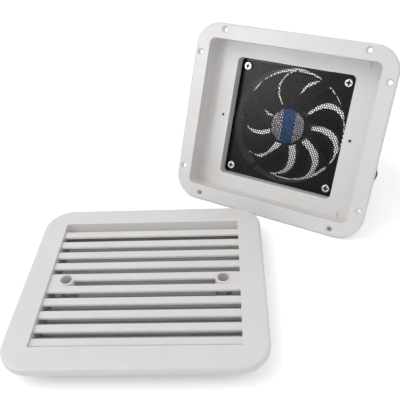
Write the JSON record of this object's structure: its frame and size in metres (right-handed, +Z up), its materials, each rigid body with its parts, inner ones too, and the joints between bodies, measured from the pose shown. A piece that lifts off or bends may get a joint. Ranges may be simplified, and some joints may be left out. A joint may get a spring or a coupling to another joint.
{
  "type": "rv exhaust fan",
  "caption": "Caravan wall exhaust fan: a white flanged tray housing with a ducted axial fan behind a black mesh guard, leaning on the floor beside its louvre cover, with its lead coiled behind.",
  "frame": {"origin": "on the floor, in the middle of the footprint of housing and cover together", "axes": "+Z up; +Y from the louvre cover towards the back of the housing; +X to the right, seen from the front, along the flange's long side"},
  "size_m": [0.2708, 0.3818, 0.1646],
  "materials": {
    "white_plastic": "satin white moulding",
    "black_guard": "black coated steel mesh",
    "black_plastic": "matte black moulding",
    "label": "silver film with a blue stripe",
    "screw_steel": "bright plated",
    "steel": "ground",
    "brass": "turned",
    "magnet": "dull bonded magnet",
    "former": "natural nylon",
    "copper": "enamelled copper wire",
    "board": "green solder mask",
    "lead": "red and black insulation",
    "plug": "natural nylon"
  },
  "bodies": {
    "housing": {"housing_flange": "white_plastic", "housing_tray": "white_plastic", "housing_floor": "white_plastic", "housing_duct": "white_plastic", "housing_tabs": "white_plastic", "mesh_guard": "black_guard", "fan_frame": "black_plastic", "hub_label": "label", "fan_screws": "screw_steel", "fan_nuts": "steel", "bearing_outer_rings": "steel", "bearing_balls": "screw_steel", "bearing_washer": "steel", "stator_core": "steel", "stator_former": "former", "stator_windings": "copper", "circuit_board": "board", "board_pins": "screw_steel", "driver_chip": "black_plastic", "strut_leads": "lead", "fan_lead": "lead", "fan_lead_coil": "lead", "plug_lead": "lead", "lead_plug": "plug", "plug_pins": "screw_steel"},
    "rotor": {"impeller": "black_plastic", "rotor_cup": "steel", "magnet_ring": "magnet", "rotor_bush": "brass", "shaft": "steel", "shaft_clip": "steel", "bearing_inner_rings": "steel"},
    "cover": {"louvre_cover": "white_plastic"}
  },
  "joints": [
    {"name": "rotor_spin", "type": "hinge", "parent": "housing", "child": "rotor", "pos_m": [0.03543, 0.14885, 0.06396], "axis": [0, -0.9085, 0.4179], "continuous": true},
    {"name": "cover_lift", "type": "slide", "parent": "housing", "child": "cover", "axis": [0, 0, 1], "range_m": [0, 0.2]}
  ]
}
